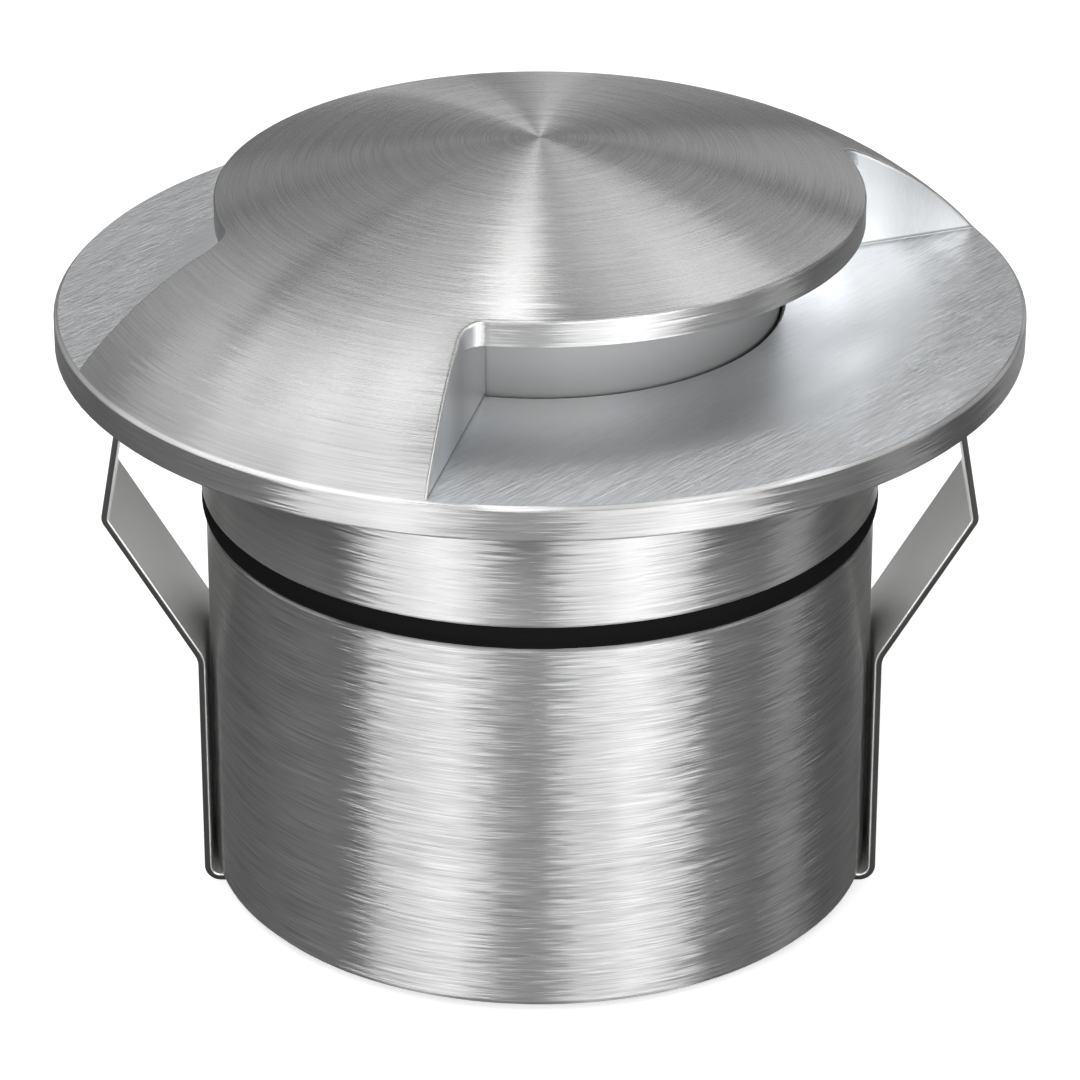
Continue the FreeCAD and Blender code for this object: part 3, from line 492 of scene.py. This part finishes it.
# %% Frosted cup
# the cup's grey: partly its own colour, partly painted shade under the cap
FROST_AND_PAINTED_SHADE = (0.208, 0.21, 0.212)
CUP_RADIUS = 17.3
CUP_FOOT_PAINTED_SHADE = 0.62
FOOT_TO_TOP = 0.42
CUP_RIGHT_PAINTED_SHADE = 0.25

frosted, frosted_shader, start = mottled(
    "frosted_plastic", FROST_AND_PAINTED_SHADE, 0.62, grain=0.15, depth=0.004, change=0.04
)
x, _, z, _, _ = place_parts(start)
# painted shade: darker towards the cup's foot and towards its right side
painted_shade_up_the_cup = CUP_FOOT_PAINTED_SHADE + rise(z, WINDOW_FLOOR - 0.3, WINDOW_FLOOR + 4.0) * FOOT_TO_TOP
painted_shade_to_the_right = 1.0 - rise(x * (1.0 / CUP_RADIUS), 0.2, 1.0) * CUP_RIGHT_PAINTED_SHADE
feed(frosted_shader, "Base Color", plain_colour(start, FROST_AND_PAINTED_SHADE) * (painted_shade_up_the_cup * painted_shade_to_the_right))
dress(frosted, "diffuser_cup")
print("frosted plastic on the cup")

# %% [markdown]
# ## Machined and bright metal
#
# The heat sink and the lock ring are turned from aluminium, so they get the same round lines as the can.
# The reflector cone is polished. Screws and standoffs are small, and a mottled metal is enough for them.

# %% Other metals
aluminium = turned_steel("machined_aluminium", (0.72, 0.725, 0.735), 0.34, 0.6, 0.3)[0]
polished = turned_steel("polished_reflector", (0.88, 0.88, 0.885), 0.1, 0.3, 0.08)[0]
small_metal = {"grain": 0.2, "depth": 0.004, "metallic": 1.0}
screw_steel, _, _ = mottled("screw_steel", (0.6, 0.6, 0.6), 0.3, **small_metal)
brass, _, _ = mottled("brass", (0.72, 0.53, 0.25), 0.28, **small_metal)
dress(aluminium, "heat_sink", "lock_ring")
dress(polished, "reflector_cone")
dress(screw_steel, "board_screws", "driver_screws", "clip_screws")
dress(brass, "driver_standoffs")
print("aluminium, bright reflector, screws and brass")

# %% [markdown]
# ## The boards and what stands on them
#
# These pieces are sealed inside the can, and only an exploded view shows them. A piece's own height, from
# 0 at its foot to 1 at its top, comes from the Generated coordinate. It picks out the parts of a piece
# that differ, which then take a second colour, and that colour can be metal.

# %% Two colours in one piece
def own_place(start):
    """Where a point lies in its piece's own box, each part from 0 to 1."""
    where = start.node("TexCoord", "Generated")
    split = start.node("SeparateXYZ", 0, None, {0: where}).socket.node
    return tuple(Wire(start.tree, output) for output in split.outputs)


def two_colours(start, shader, mask, first, second, metal=0.0):
    """Base colour first where the mask is 0 and second where it is 1, which can be metal."""
    factor, colour_a, colour_b, colour_out = 0, 6, 7, 2
    inputs = {factor: mask, colour_a: (*first, 1.0), colour_b: (*second, 1.0)}
    feed(shader, "Base Color", start.node("Mix", colour_out, {"data_type": "RGBA"}, inputs))
    if metal:
        feed(shader, "Metallic", mask * metal)


white_plastic, _, _ = mottled("white_plastic", (0.82, 0.82, 0.815), 0.45, grain=0.3, change=0.03)
pad, _, _ = mottled("grey_pad", (0.34, 0.35, 0.37), 0.75, grain=0.4, depth=0.02)
black_chip, _, _ = mottled("black_chip", (0.025, 0.025, 0.027), 0.5, grain=0.15, change=0.05)
dress(white_plastic, "reflector_ring")
dress(pad, "thermal_pad")
dress(black_chip, "driver_chips")
print("white ring, pad and chips")

# %% [markdown]
# ## Boards and lamp chips
#
# The lamp board is white, with ring tracks that show faintly through its lacquer. The driver board is
# green over straight copper tracks. Each lamp chip is a white case with a well of yellow phosphor, found
# by facing up below the case's top.

# %% Boards
WHITE_LACQUER = (0.8, 0.8, 0.78)


def tracks(start, x, y, pitch, width):
    """Straight copper tracks along X and Y at the pitch, broken up by a slow noise."""
    def stripe(across, along):
        wave = abs(start.sum_of("SINE", across * (math.pi / pitch)))
        where = joined(start, across * (0.5 / pitch), along * (0.12 / pitch), 0.0)
        gaps = noise(start, where, 1.0, 0.0)
        return rise(wave, 1.0 - width, 1.0 - width * 0.6) * rise(gaps, 0.5, 0.53)

    return start.sum_of("MAXIMUM", stripe(x, y), stripe(y, x))


white_board, board_shader, start = mottled("white_board", WHITE_LACQUER, 0.35, change=0.03)
_, _, _, reach, _ = place_parts(start)
ring_track = rise(start.sum_of("SINE", reach * 2.2), 0.55, 0.7)
two_colours(start, board_shader, ring_track, WHITE_LACQUER, (0.7, 0.69, 0.64))
dress(white_board, "led_board")

green_board, board_shader, start = mottled("green_board", (0.02, 0.2, 0.09), 0.3, change=0.05)
x, y, _, _, _ = place_parts(start)
board_tracks = tracks(start, x, y, 1.8, 0.12)
two_colours(start, board_shader, board_tracks, (0.015, 0.16, 0.07), (0.03, 0.27, 0.12))
dress(green_board, "driver_board")
print("lamp board and driver board")

# %% Lamp chips
CHIP_CASE = (0.85, 0.85, 0.83)
PHOSPHOR = (0.86, 0.62, 0.12)
lamp_chip, chip_shader, start = mottled("lamp_chip", CHIP_CASE, 0.4, change=0.02)
_, _, _, _, facing = place_parts(start)
_, _, own_height = own_place(start)
well = rise(facing, 0.8, 0.95) * fall(own_height, 0.7, 0.8) * rise(own_height, 0.2, 0.3)
two_colours(start, chip_shader, well, CHIP_CASE, PHOSPHOR)
dress(lamp_chip, "led_chips")
print("lamp chips")

# %% [markdown]
# ## Capacitors, coil, header and terminals
#
# The capacitors are sleeved and have bright ends underneath, the coil is copper wound round a dark core,
# the header's pins are plated, and the terminal block shows its screws from below.

# %% Capacitors and coil
SLEEVE = (0.03, 0.04, 0.09)
BRIGHT_END = (0.7, 0.7, 0.7)
sleeve, sleeve_shader, start = mottled("capacitor_sleeve", SLEEVE, 0.3, change=0.05)
_, _, _, _, facing = place_parts(start)
two_colours(start, sleeve_shader, fall(facing, -0.95, -0.8), SLEEVE, BRIGHT_END, metal=1.0)
dress(sleeve, "driver_capacitors")

CORE = (0.1, 0.1, 0.105)
COPPER = (0.6, 0.24, 0.1)
WINDINGS = 34.0
coil, coil_shader, start = mottled("wound_coil", CORE, 0.45, change=0.05)
across, along, _ = own_place(start)
angle = start.sum_of("ARCTAN2", along - 0.5, across - 0.5)
turns = rise(start.sum_of("SINE", angle * WINDINGS), -0.5, 0.1)
two_colours(start, coil_shader, turns, CORE, COPPER, metal=0.8)
dress(coil, "driver_inductor")
print("capacitors and coil")

# %% Header and terminals
HOUSING = (0.03, 0.03, 0.032)
PLATING = (0.75, 0.6, 0.3)
PIN_APART = 1.9
header, header_shader, start = mottled("pin_header", HOUSING, 0.4, change=0.05)
x, y, _, _, _ = place_parts(start)
pins = fall(abs(y), 0.33, 0.36) * fall(abs(abs(x) - PIN_APART), 0.33, 0.36)
two_colours(start, header_shader, pins, HOUSING, PLATING, metal=1.0)
dress(header, "led_pin_header")

GREEN_BLOCK = (0.05, 0.3, 0.12)
SCREW_ENDS = (0.62, 0.62, 0.6)
terminal, terminal_shader, start = mottled("terminal_green", GREEN_BLOCK, 0.35, change=0.05)
_, _, _, _, facing = place_parts(start)
_, _, own_height = own_place(start)
screws = fall(facing, -0.95, -0.8) * rise(own_height, 0.06, 0.1) * fall(own_height, 0.3, 0.4)
two_colours(start, terminal_shader, screws, GREEN_BLOCK, SCREW_ENDS, metal=1.0)
dress(terminal, "terminal_block")
print("header and terminals")

# %% [markdown]
# ## The spring clips
#
# Each clip is one strip of spring steel, half a millimetre thick. It hooks under the can's rim, runs up
# beside the can, leans out to an elbow and turns back in to its tip. The strip was sheared: its edge is
# darker and rougher than its faces, and its inner corner is filed to a narrow flat that catches the light
# as a white line. Fine lines run along it, from the rollers that made it thin.

# %% Spring strip
STRIP = (0.62, 0.615, 0.6)
STRIP_ROUGH = 0.33
STRIP_METAL = 0.55
EDGE_DARKER = 0.68
LINE_SHADE = 0.25

strip_steel, strip_shader, start = mottled(
    "spring_strip_steel", STRIP, STRIP_ROUGH, grain=0.12, depth=0.003, metallic=STRIP_METAL
)
across, along, up = own_place(start)
lengthwise = noise(start, joined(start, across * 4.0, along * 60.0, up * 3.0), 1.0, 3.0, 0.6) - 0.5
sheared = rise(abs(along - 0.5), 0.4975, 0.4985)
shade = (1.0 + lengthwise * LINE_SHADE) * (1.0 - sheared * EDGE_DARKER)
feed(strip_shader, "Metallic", STRIP_METAL + sheared * (1.0 - STRIP_METAL))
feed(strip_shader, "Base Color", plain_colour(start, STRIP) * shade)
feed(strip_shader, "Roughness", STRIP_ROUGH + lengthwise * 0.1)
print("spring strip steel")

# %% [markdown]
# ## A line with rounded bends
#
# A strip bends round a radius and never at a sharp corner. So the clip starts as a line of corners, and
# each corner is replaced by points along an arc that touches both of its sides.

# %% Rounded line
ARC_STEP = 6


def rounded_line(corners, radii):
    """Points along a line whose corners are rounded, as (across, up) in millimetres."""
    points = [Vector(corners[0])]
    for before, corner, after, radius in zip(corners, corners[1:], corners[2:], radii):
        corner = Vector(corner)
        into = (corner - Vector(before)).normalized()
        out = (Vector(after) - corner).normalized()
        turn = into.angle(out)
        setback = radius * math.tan(turn / 2)
        first = corner - into * setback
        side = 1 if into.x * out.y - into.y * out.x > 0 else -1
        centre = first + Vector((-into.y, into.x)) * radius * side
        arm = first - centre
        steps = max(4, round(math.degrees(turn) / ARC_STEP))
        for k in range(steps + 1):
            swing = side * turn * k / steps
            cosine, sine = math.cos(swing), math.sin(swing)
            swung = (arm.x * cosine - arm.y * sine, arm.x * sine + arm.y * cosine)
            points.append(centre + Vector(swung))
    points.append(Vector(corners[-1]))
    return points


print("corners can be rounded")

# %% [markdown]
# ## The strip's section and its skin
#
# The section is swept along the line: a ring of points is set square to the line at each of its points,
# and the rings are joined by faces. A curve object with a profile would sweep too, but its section can
# twist where the curve turns back, and these rings stay square to the plane of the clip.

# %% Section of the strip
HALF_THICK = 0.25
HALF_WIDE = 5.25
EDGE = 0.07
FLAT = 0.13
FLAT_DEPTH = 0.05


def section_points():
    """The cross-section, as (through, along) from its middle: outer edges round, inner ones flat."""
    points = []
    for thick, wide, first in ((1, 1, 0), (-1, 1, 90), (-1, -1, 180), (1, -1, 270)):
        if thick < 0:
            on_edge = (-HALF_THICK + FLAT, HALF_WIDE * wide)
            on_face = (-HALF_THICK, (HALF_WIDE - FLAT_DEPTH) * wide)
            points += [on_edge, on_face] if wide > 0 else [on_face, on_edge]
            continue
        for k in range(4):
            turn = math.radians(first + 30 * k)
            across = HALF_THICK - EDGE + EDGE * math.cos(turn)
            along = wide * (HALF_WIDE - EDGE) + EDGE * math.sin(turn)
            points.append((across, along))
    return points


print("strip section has", len(section_points()), "points")

# %% Sweep the strip
SHARP = math.radians(18)


def bent_strip(name, line, side):
    """A closed strip along a line in the plane of X and Z, mirrored to one side of the light."""
    shape = bmesh.new()
    rings = []
    count = len(line)
    for i, point in enumerate(line):
        ahead = line[min(i + 1, count - 1)] - line[max(i - 1, 0)]
        ahead.normalize()
        outward = Vector((ahead.y, -ahead.x))
        ring = []
        for across, along in section_points():
            spot = point + outward * across
            ring.append(shape.verts.new((spot.x * side * MM, along * MM, spot.y * MM)))
        rings.append(ring)
    size = len(rings[0])
    for first, second in zip(rings, rings[1:]):
        for k in range(size):
            shape.faces.new((first[k], first[(k + 1) % size], second[(k + 1) % size], second[k]))
    shape.faces.new(rings[0])
    shape.faces.new(rings[-1])
    bmesh.ops.recalc_face_normals(shape, faces=shape.faces)
    mesh = bpy.data.meshes.new(name)
    shape.to_mesh(mesh)
    shape.free()
    for face in mesh.polygons:
        face.use_smooth = True
    mesh.set_sharp_from_angle(angle=SHARP)
    strip = bpy.data.objects.new(name, mesh)
    bpy.context.scene.collection.objects.link(strip)
    strip.data.materials.append(strip_steel)
    return strip


print("strips can be swept")

# %% [markdown]
# ## Two lengths of strip
#
# The strip bends at two places when it is pressed in: beside the can and at the elbow. So it is made as
# two lengths that meet in the middle of the blade, where the strip stays straight.

# %% The clip's line
LEG = 24.9
STRIP_MIDDLE = 0.25
HOOK_IN = 14.4
HOOK_OUT = 21.4
HOOK_UP = 7.75
HOOK_BEND = 0.95
FLEX_BEND = 2.0
ELBOW_BEND = 0.8
FLEX_UP = 18.67
LEAN = math.radians(30.6)
BLADE = 13.23
TIP_LEAN = math.radians(9.65)
TIP = 8.65
ELBOW = (LEG + math.sin(LEAN) * BLADE, FLEX_UP + math.cos(LEAN) * BLADE)
MIDDLE = (LEG + math.sin(LEAN) * BLADE / 2, FLEX_UP + math.cos(LEAN) * BLADE / 2)
TIP_END = (ELBOW[0] - math.sin(TIP_LEAN) * TIP, ELBOW[1] + math.cos(TIP_LEAN) * TIP)
hook = [(HOOK_IN, HOOK_UP), (HOOK_OUT, HOOK_UP), (HOOK_OUT, STRIP_MIDDLE), (LEG, STRIP_MIDDLE)]
lower_line = rounded_line([*hook, (LEG, FLEX_UP), MIDDLE], [HOOK_BEND, HOOK_BEND, HOOK_BEND, FLEX_BEND])
upper_line = rounded_line([MIDDLE, ELBOW, TIP_END], [ELBOW_BEND])
print("clip lines of", len(lower_line), "and", len(upper_line), "points")

# %% Both clips
FLEX_SPREAD = 1.2
ELBOW_SPREAD = 0.9


def leaning(side, lean, length):
    """A step of that length in millimetres, leaning out from upright to one side of the light."""
    return Vector((math.sin(lean) * side, 0, math.cos(lean))) * length * MM


for word, side in (("left", -1), ("right", 1)):
    lower = bent_strip(f"spring_{word}_leg", lower_line, side)
    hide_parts(f"clip_foot_{word}", f"clip_blade_{word}")
    flex = Vector((LEG * side, 0, FLEX_UP)) * MM
    reach = leaning(side, LEAN / 2, FLEX_SPREAD)
    flex - reach
    flex + reach
    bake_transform(lower)
    upper = bent_strip(f"spring_{word}_tip", upper_line, side)
    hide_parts(f"clip_tip_{word}")
    elbow = Vector((ELBOW[0] * side, 0, ELBOW[1])) * MM
    reach = leaning(side, (LEAN - TIP_LEAN) / 2, ELBOW_SPREAD)
    elbow - reach
    elbow + reach
    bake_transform(upper)
print("two spring clips, each of two lengths")

# %% [markdown]
# ## Floor and backdrop
#
# The product picture has a white ground that goes on into a white backdrop. Both are shown white to the
# camera only. In the steel the ground is dark, apart from a bright patch behind the light, which is what
# the neck and the flange's edge show. A ray's kind, from the Light Path node, tells these cases apart.

# %% Floor shape
FLOOR_RADIUS = 4.0
FLOOR_DROP = 0.05

floor_shape = bmesh.new()
bmesh.ops.create_circle(floor_shape, cap_ends=True, segments=96, radius=FLOOR_RADIUS)
floor_mesh = bpy.data.meshes.new("floor")
floor_shape.to_mesh(floor_mesh)
floor_shape.free()
floor = bpy.data.objects.new("floor", floor_mesh)
floor.location.z = -FLOOR_DROP * MM
bpy.context.scene.collection.objects.link(floor)
print("floor of", FLOOR_RADIUS, "metres radius")

# %% Floor finish
FLOOR_IN_METAL = 0.12
GLOW_BEHIND = 0.9
GLOW_X = 14.0
SEEN_GLOW = 0.45
WHITE = (1.0, 1.0, 1.0)


def mirrored_rays(start):
    """1 for rays that come by way of metal or glass."""
    glossy = start.node("LightPath", "Is Glossy Ray")
    through = start.node("LightPath", "Is Transmission Ray")
    return start.sum_of("MAXIMUM", glossy, through)


floor_material, floor_shader, start = new_finish("pale_floor", (0.8, 0.8, 0.8), 0.9)
x, y, _, reach, _ = place_parts(start)
behind = rise(y, 25.0, 60.0) * fall(reach, 110.0, 180.0) * fall(abs(x - GLOW_X), 66.0, 88.0)
in_metal = plain_colour(start, WHITE) * (FLOOR_IN_METAL + behind * GLOW_BEHIND)
in_metal = start.node("Emission", 0, None, {"Color": in_metal, "Strength": 1.0})
lit = Wire(start.tree, floor_shader.outputs[0])
glow = start.node("Emission", 0, None, {"Color": (*WHITE, 1.0), "Strength": SEEN_GLOW})
white = start.node("AddShader", 0, None, {0: lit, 1: glow})
seen = start.node("LightPath", "Is Camera Ray")
direct = start.node("MixShader", 0, None, {0: seen, 1: lit, 2: white})
surface = start.node("MixShader", 0, None, {0: mirrored_rays(start), 1: direct, 2: in_metal})
feed(start.tree.nodes["Material Output"], "Surface", surface)
floor.data.materials.append(floor_material)
print("pale floor, with a bright patch behind the light for metal")

# %% Backdrop
WORLD_IN_METAL = 0.23
AMBIENT = 0.36

world = bpy.data.worlds.new("studio")
world.use_nodes = True
bpy.context.scene.world = world
start = Wire(world.node_tree)
seen = start.node("LightPath", "Is Camera Ray")
unseen = AMBIENT + mirrored_rays(start) * (WORLD_IN_METAL - AMBIENT)
background = world.node_tree.nodes["Background"]
background.inputs["Color"].default_value = (*WHITE, 1.0)
feed(background, "Strength", seen + (1.0 - seen) * unseen)
print("white backdrop; level on the object", AMBIENT, "and in metal", WORLD_IN_METAL)

# %% [markdown]
# ## Lamps
#
# Brushed steel shows every lamp as a band across its lines, so the bands say where the lamps stood.
# Each lamp here is a soft panel a metre away, given by the part of the sky that it fills. The light was
# rendered with one panel at a time, and the brightnesses were then solved for, so that the bands on the
# can and the fans on the dome come out like the picture's. The dome's fans need the lamps behind it.

# %% Lamps
LAMPS = [
    # name, first and last azimuth from the front, lowest and highest elevation, brightness
    ("front_left_low", -57, -15, 0, 22, 7.3),
    ("front_left_core", -37, -25, 0, 22, 2.9),
    ("front_right_low", 5, 51, 0, 22, 7.8),
    ("front_right_core", 25, 37, 0, 22, 3.5),
    ("right_low", 80, 96, 0, 22, 1.8),
    ("back_right_low", 145, 170, 0, 22, 0.35),
    ("back_left_low", 195, 235, 0, 22, 0.15),
    ("left_middle_back", -120, -90, 22, 44, 0.85),
    ("left_middle", -90, -75, 22, 44, 1.5),
    ("front_middle", -15, 0, 22, 44, 4.0),
    ("right_middle_front", 60, 75, 22, 44, 2.2),
    ("right_middle_painted_shade", 75, 90, 22, 44, 0.65),
    ("back_right_middle", 135, 150, 22, 44, 1.15),
    ("back_middle", 165, 195, 22, 44, 0.2),
    ("back_left_middle", 210, 240, 22, 44, 0.46),
    ("left_high_back", -120, -105, 44, 60, 2.3),
    ("left_high", -90, -75, 44, 60, 3.0),
    ("front_high", -15, 5, 44, 60, 2.1),
    ("right_high", 76, 84, 44, 60, 1.8),
    ("back_right_high", 136, 180, 44, 60, 1.25),
    ("back_right_core", 150, 156, 44, 60, 2.1),
    ("back_high", 181, 190, 44, 60, 0.75),
    ("back_left_high", 198, 204, 44, 60, 0.9),
    ("left_top_back", -120, -90, 60, 76, 1.8),
    ("left_top", -90, -60, 60, 76, 2.2),
    ("back_right_top", 120, 150, 60, 76, 0.9),
    ("back_top", 180, 198, 60, 76, 4.8),
    ("back_left_top", 210, 240, 60, 76, 0.3),
]
LAMPS_AROUND = Vector((0, 0, 0.03))


def softbox(name, first, last, low, high, brightness):
    """A flat lamp a metre away that faces the light; its brightness is what a mirror would show."""
    around = math.radians(first + last) / 2
    up = math.radians(low + high) / 2
    data = bpy.data.lights.new(name, "AREA")
    data.shape = "RECTANGLE"
    data.size = 2 * math.tan(math.radians(last - first) / 2) * math.cos(up)
    data.size_y = 2 * math.tan(math.radians(high - low) / 2)
    data.energy = brightness * data.size * data.size_y * math.pi
    lamp = bpy.data.objects.new(name, data)
    away = Vector((math.sin(around) * math.cos(up), -math.cos(around) * math.cos(up), math.sin(up)))
    lamp.location = LAMPS_AROUND + away
    lamp.rotation_euler = away.to_track_quat("Z", "Y").to_euler()
    lamp.visible_camera = False
    bpy.context.scene.collection.objects.link(lamp)


for lamp in LAMPS:
    softbox(*lamp)
bpy.context.scene.view_settings.view_transform = "Standard"
print(len(LAMPS), "lamps")
